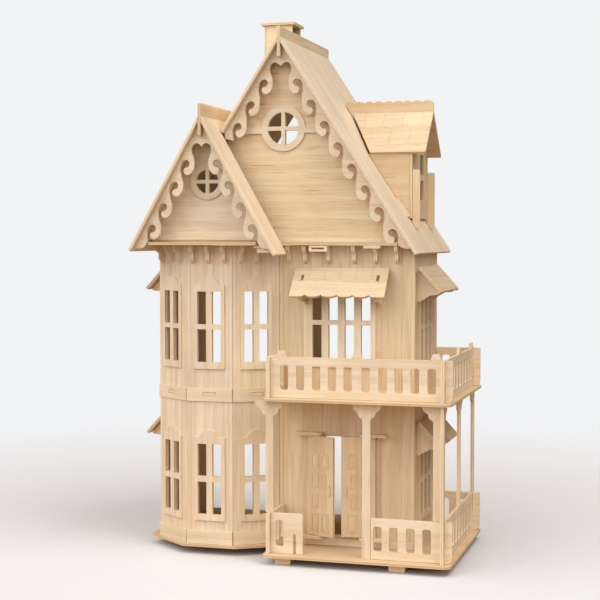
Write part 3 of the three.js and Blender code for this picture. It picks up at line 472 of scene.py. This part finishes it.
def cross_holes(cx, cz, r, mull, n=10):
    out = []
    h = mull / 2
    a0 = math.asin(h / r)
    for s in range(4):
        pts = [(r * math.cos(a0 + (math.pi / 2 - 2 * a0) * i / n), r * math.sin(a0 + (math.pi / 2 - 2 * a0) * i / n)) for i in range(n + 1)] + [(h, h)]
        c, sn = math.cos(s * math.pi / 2), math.sin(s * math.pi / 2)
        out.append([(cx + x * c - y * sn, cz + x * sn + y * c) for x, y in pts])
    return out


front("round_casing_main", ring(-184.4, 443.7, 24.2, 64), FY - 0.05, 1.9, cross_holes(-184.4, 443.7, 17.2, 4.3), grain=X)
front("round_casing_left", ring(-259.4, 387.1, 19.0, 56), 29 - 0.05, 1.9, cross_holes(-259.4, 387.1, 12.6, 3.8), grain=X)
front("beam_gable_left", box_ring(-243.5, 438.6, -207.8, 445.2), FY - 0.05, 2.2, grain=X)
front("beam_gable_right", box_ring(-161.0, 438.6, -127.5, 445.2), FY - 0.05, 2.2, grain=X)
front("batten_left_gable", box_ring(-327.0, 325.4, -191.6, 333.4), 29 - 0.05, 2.2, grain=X)
front("batten_main_gable", box_ring(-244.0, 323.3, -64.0, 327.6), 58.75, 1.6, grain=X)

# keepers under the eave plate: blocks, the taller one with a slot
for nm, (x0, x1, y0, y1, z0, z1) in {
    "keeper_middle": (-152.6, -133.0, 44.5, 54, 313.2, 319.6),
    "keeper_right": (-93.6, -75.8, 44.5, 54, 316.6, 319.7),
}.items():
    h = [box_ring(x0 + 3, z0 + 2.4, x1 - 3, z0 + 4.2)] if z1 - z0 > 5 else []
    plate(nm, box_ring(x0, z0, x1, z1), (0, y1, 0), X, Z, y1 - y0, h, grain=X)

for nm, (x0, x1, y0, z0, z1) in {"lower": (-199.3, -184.6, 12.6, 312.3, 316.0), "middle": (-198.4, -185.4, 14.0, 316.0, 317.0), "upper": (-203.2, -184.6, 12.6, 317.0, 319.6)}.items():
    plate("keeper_left_" + nm, box_ring(x0, z0, x1, z1), (0, 20, 0), X, Z, 20 - y0, grain=X, bevel=0.0001)

# end of a tab that comes through the main roof in front of the dormer
sl = math.hypot(1, 1.54)
rise = lambda x: 541 - 1.54 * (x + 184.3)
tab = [(x + 1.54 / sl * h, rise(x) + h / sl) for x, h in ((-72.8, -0.2), (-60.0, -0.2), (-60.0, 3.0), (-72.8, 3.0))]
plate("roof_tab", tab, (0, 108.5, 0), X, Z, 3.0, grain=(1, 0, -1.54))

# awning brackets
def bracket_pts(out, drop):
    s = drop / out
    pts = [(0.1, -s * 0 - 1.2)]
    x_end = out - 1.0
    pts += [(0.1, -33.5), (2.6, -34.4), (6.5, -31.6), (x_end * 0.62, -drop - 1.2), (x_end, -drop - 0.4)]
    pts += [(x_end + 1.8, -s * (x_end + 1.8 - 2.6) - 1.0)]
    pts += [(2.6, -1.0)]
    return pts


for j, bx in enumerate((-159.6, -78.0)):
    plate(f"bracket_front_{j + 1}", bracket_pts(25.5, 29.5), Vector((bx + 1.5, FY - 0.05, 291.6)), (0, -1, 0), Z, 3.0, grain=Z)
for tag, zt in (("upper", 295.6), ("lower", 133.4)):
    for j, by in enumerate((72.7, 154.3)):
        plate(f"bracket_right_{tag}_{j + 1}", bracket_pts(23.5, 26), Vector((RX + 0.02, by + 1.5, zt - 1)), X, Z, 3.0, grain=Z)
    for j, by in enumerate((96.2, 173.8)):
        plate(f"bracket_left_{tag}_{j + 1}", bracket_pts(23.5, 26), Vector((LX - 0.02, by - 1.5, zt - 1)), -X, Z, 3.0, grain=Z)

# ---------------------------------------------------------------- door panels and handles
DOOR_Y, W_LEAF = 54.5, 34.3


def arch(u0, z0, u1, z1, n=8):
    r = (u1 - u0) / 2
    c = (u0 + u1) / 2
    return [(u0, z0), (u1, z0)] + [(c + r * math.cos(math.pi * i / n), z1 - r * 0.75 + r * 0.75 * math.sin(math.pi * i / n)) for i in range(n + 1)]


def inset(u0, z0, u1, z1, arched, m):
    return arch(u0 + m, z0 + m, u1 - m, z1 - m) if arched else box_ring(u0 + m, z0 + m, u1 - m, z1 - m)


for leaf, x0, dr, deg in (("left", -154.5, 1, 26), ("right", -84.0, -1, 9)):
    ang = math.radians(-dr * deg)
    U = Vector((math.cos(ang) * dr, math.sin(ang) * dr, 0))  # from the hinge to the free edge
    nrm = Vector((U.y, -U.x, 0))
    if nrm.y > 0:
        nrm = -nrm
    for face, w in (("front", nrm), ("back", -nrm)):
        # right-handed sheet axes so that the plate grows outwards from the leaf
        S = Z.cross(w)
        sg = 1 if S.dot(U) > 0 else -1
        o = Vector((x0, DOOR_Y, 0)) + w * (T / 2 - 0.02)
        for c, (ua, ub) in enumerate(((4.2, 14.4), (18.2, 28.4))):
            for r, (za, zb, ar) in enumerate(((84.1, 100.4, True), (62.6, 78.8, False), (41.2, 57.4, False), (16.4, 36.6, False))):
                ends = ub - (3.2 if c == 1 and r in (1, 2) else 0)
                mk = lambda m: [(sg * p[0], p[1]) for p in inset(ua, za, ends, zb, ar, m)]
                outer, inner = mk(0), mk(1.3)
                core = mk(2.1)
                if sg < 0:
                    outer, inner, core = outer[::-1], inner[::-1], core[::-1]
                plate(f"door_{leaf}_{face}_frame_{c + 1}{r + 1}", outer, o, S, Z, 0.55, [inner], f"door_{leaf}", grain=Z, slot="plywood_wall", bevel=0.00015, seed=20 + r)
                plate(f"door_{leaf}_{face}_panel_{c + 1}{r + 1}", core, o, S, Z, 0.4, [], f"door_{leaf}", grain=Z, slot="plywood_wall", bevel=0.00015, seed=20 + r)
        hp = [(sg * 29.8 + 1.35 * math.cos(2 * math.pi * i / 20), 61 + 6.2 * math.sin(2 * math.pi * i / 20)) for i in range(20)]
        plate(f"door_{leaf}_{face}_handle", hp, o, S, Z, 1.6, [], f"door_{leaf}", grain=Z, slot="plywood_trim", bevel=0.0004)

# ---------------------------------------------------------------- stage, light, camera
me = bpy.data.meshes.new("studio_floor")
bm = bmesh.new()
bmesh.ops.create_circle(bm, cap_ends=True, radius=9.0, segments=64)
bm.to_mesh(me)
bm.free()
floor = bpy.data.objects.new("studio_floor", me)
bpy.context.scene.collection.objects.link(floor)
floor.location.z = -0.0001
fm = bpy.data.materials.new("studio_white")
fm.use_nodes = True
q = Graph(fm)
tc = q.new("ShaderNodeTexCoord")
ln = q.new("ShaderNodeVectorMath", operation="LENGTH")
q.put(ln.inputs[0], tc.outputs["Object"])
far = q.ramp(ln.outputs["Value"], 0.34, 1.15)
grainy = q.noise(tc.outputs["Object"], 60.0, 2.0)
d = q.new("ShaderNodeBsdfPrincipled")
seen = q.new("ShaderNodeLightPath").outputs["Is Camera Ray"]
q.put(d.inputs["Base Color"], q.mix(seen, (0.42, 0.29, 0.18, 1), q.mix(grainy, (0.705, 0.725, 0.75, 1), (0.73, 0.75, 0.775, 1))))
d.inputs["Roughness"].default_value = 0.9
d.inputs["Specular IOR Level"].default_value = 0.1
em = q.new("ShaderNodeEmission")
em.inputs["Color"].default_value = (0.888, 0.896, 0.914, 1)
q.put(em.inputs["Strength"], q.math("MULTIPLY_ADD", q.new("ShaderNodeLightPath").outputs["Is Camera Ray"], 0.85, 0.15))
mx = q.new("ShaderNodeMixShader")
q.put(mx.inputs[0], far)
q.put(mx.inputs[1], d.outputs[0])
q.put(mx.inputs[2], em.outputs[0])
out = q.new("ShaderNodeOutputMaterial")
q.put(out.inputs[0], mx.outputs[0])
me.materials.append(fm)

world = bpy.data.worlds.new("studio")
bpy.context.scene.world = world
world.use_nodes = True
wt = world.node_tree
wt.nodes.clear()
lp = wt.nodes.new("ShaderNodeLightPath")
bg1, bg2 = wt.nodes.new("ShaderNodeBackground"), wt.nodes.new("ShaderNodeBackground")
# the light comes from a large soft box in front, above and to the left; the rest of the room is dim
wc = wt.nodes.new("ShaderNodeTexCoord")
wd = wt.nodes.new("ShaderNodeVectorMath")
wd.operation = "DOT_PRODUCT"
wd.inputs[1].default_value = (-0.46, -0.70, 0.546)
wm = wt.nodes.new("ShaderNodeMapRange")
wm.interpolation_type = "SMOOTHSTEP"
wm.inputs["From Min"].default_value = -0.1
wm.inputs["From Max"].default_value = 0.9
wm.inputs["To Min"].default_value = 0.13
wm.inputs["To Max"].default_value = 1.48
wt.links.new(wc.outputs["Generated"], wd.inputs[0])
wt.links.new(wd.outputs["Value"], wm.inputs["Value"])
wt.links.new(wm.outputs["Result"], bg1.inputs[1])
wx = wt.nodes.new("ShaderNodeMix")
wx.data_type = "RGBA"
wx.inputs[6].default_value = (1.0, 0.72, 0.48, 1)
wx.inputs[7].default_value = (1.0, 0.985, 0.97, 1)
wt.links.new(wd.outputs["Value"], wx.inputs[0])
wt.links.new(wx.outputs[2], bg1.inputs[0])
bg2.inputs[0].default_value = (0.888, 0.896, 0.914, 1)
bg2.inputs[1].default_value = 1.0
ms = wt.nodes.new("ShaderNodeMixShader")
wo = wt.nodes.new("ShaderNodeOutputWorld")
wt.links.new(lp.outputs["Is Camera Ray"], ms.inputs[0])
wt.links.new(bg1.outputs[0], ms.inputs[1])
wt.links.new(bg2.outputs[0], ms.inputs[2])
wt.links.new(ms.outputs[0], wo.inputs[0])


def area_light(name, at, aim, size, watts, colour):
    ld = bpy.data.lights.new(name, "AREA")
    ld.shape = "DISK"
    ld.size = size
    ld.energy = watts
    ld.color = colour
    ob = bpy.data.objects.new(name, ld)
    bpy.context.scene.collection.objects.link(ob)
    ob.location = at
    ob.rotation_euler = (Vector(aim) - Vector(at)).to_track_quat("-Z", "Y").to_euler()
    return ob


area_light("key", (-1.5, -2.3, 2.1), (0, 0, 0.28), 1.6, 15, (1.0, 1.0, 1.0))
area_light("fill", (2.4, -1.6, 1.3), (0, 0, 0.28), 1.8, 12, (1.0, 0.985, 0.97))
area_light("top", (1.5, -0.6, 2.8), (0, 0, 0.3), 1.8, 44, (1.0, 0.985, 0.97))

cam_data = bpy.data.cameras.new("camera")
cam = bpy.data.objects.new("camera", cam_data)
bpy.context.scene.collection.objects.link(cam)
th, ph = math.radians(16.36), math.radians(2.628)
fwd = Vector((-math.sin(th) * math.cos(ph), math.cos(th) * math.cos(ph), -math.sin(ph)))
right = Vector((math.cos(th), math.sin(th), 0))
up = right.cross(fwd)
m = Matrix((right, up, -fwd)).transposed().to_4x4()
m.translation = P(251.5, -1364.4, 329.6)
cam.matrix_world = m
cam_data.sensor_width = 36
cam_data.lens = 83.62
cam_data.clip_start = 0.01
cam_data.clip_end = 50
bpy.context.scene.camera = cam
bpy.context.scene.view_settings.view_transform = "Standard"
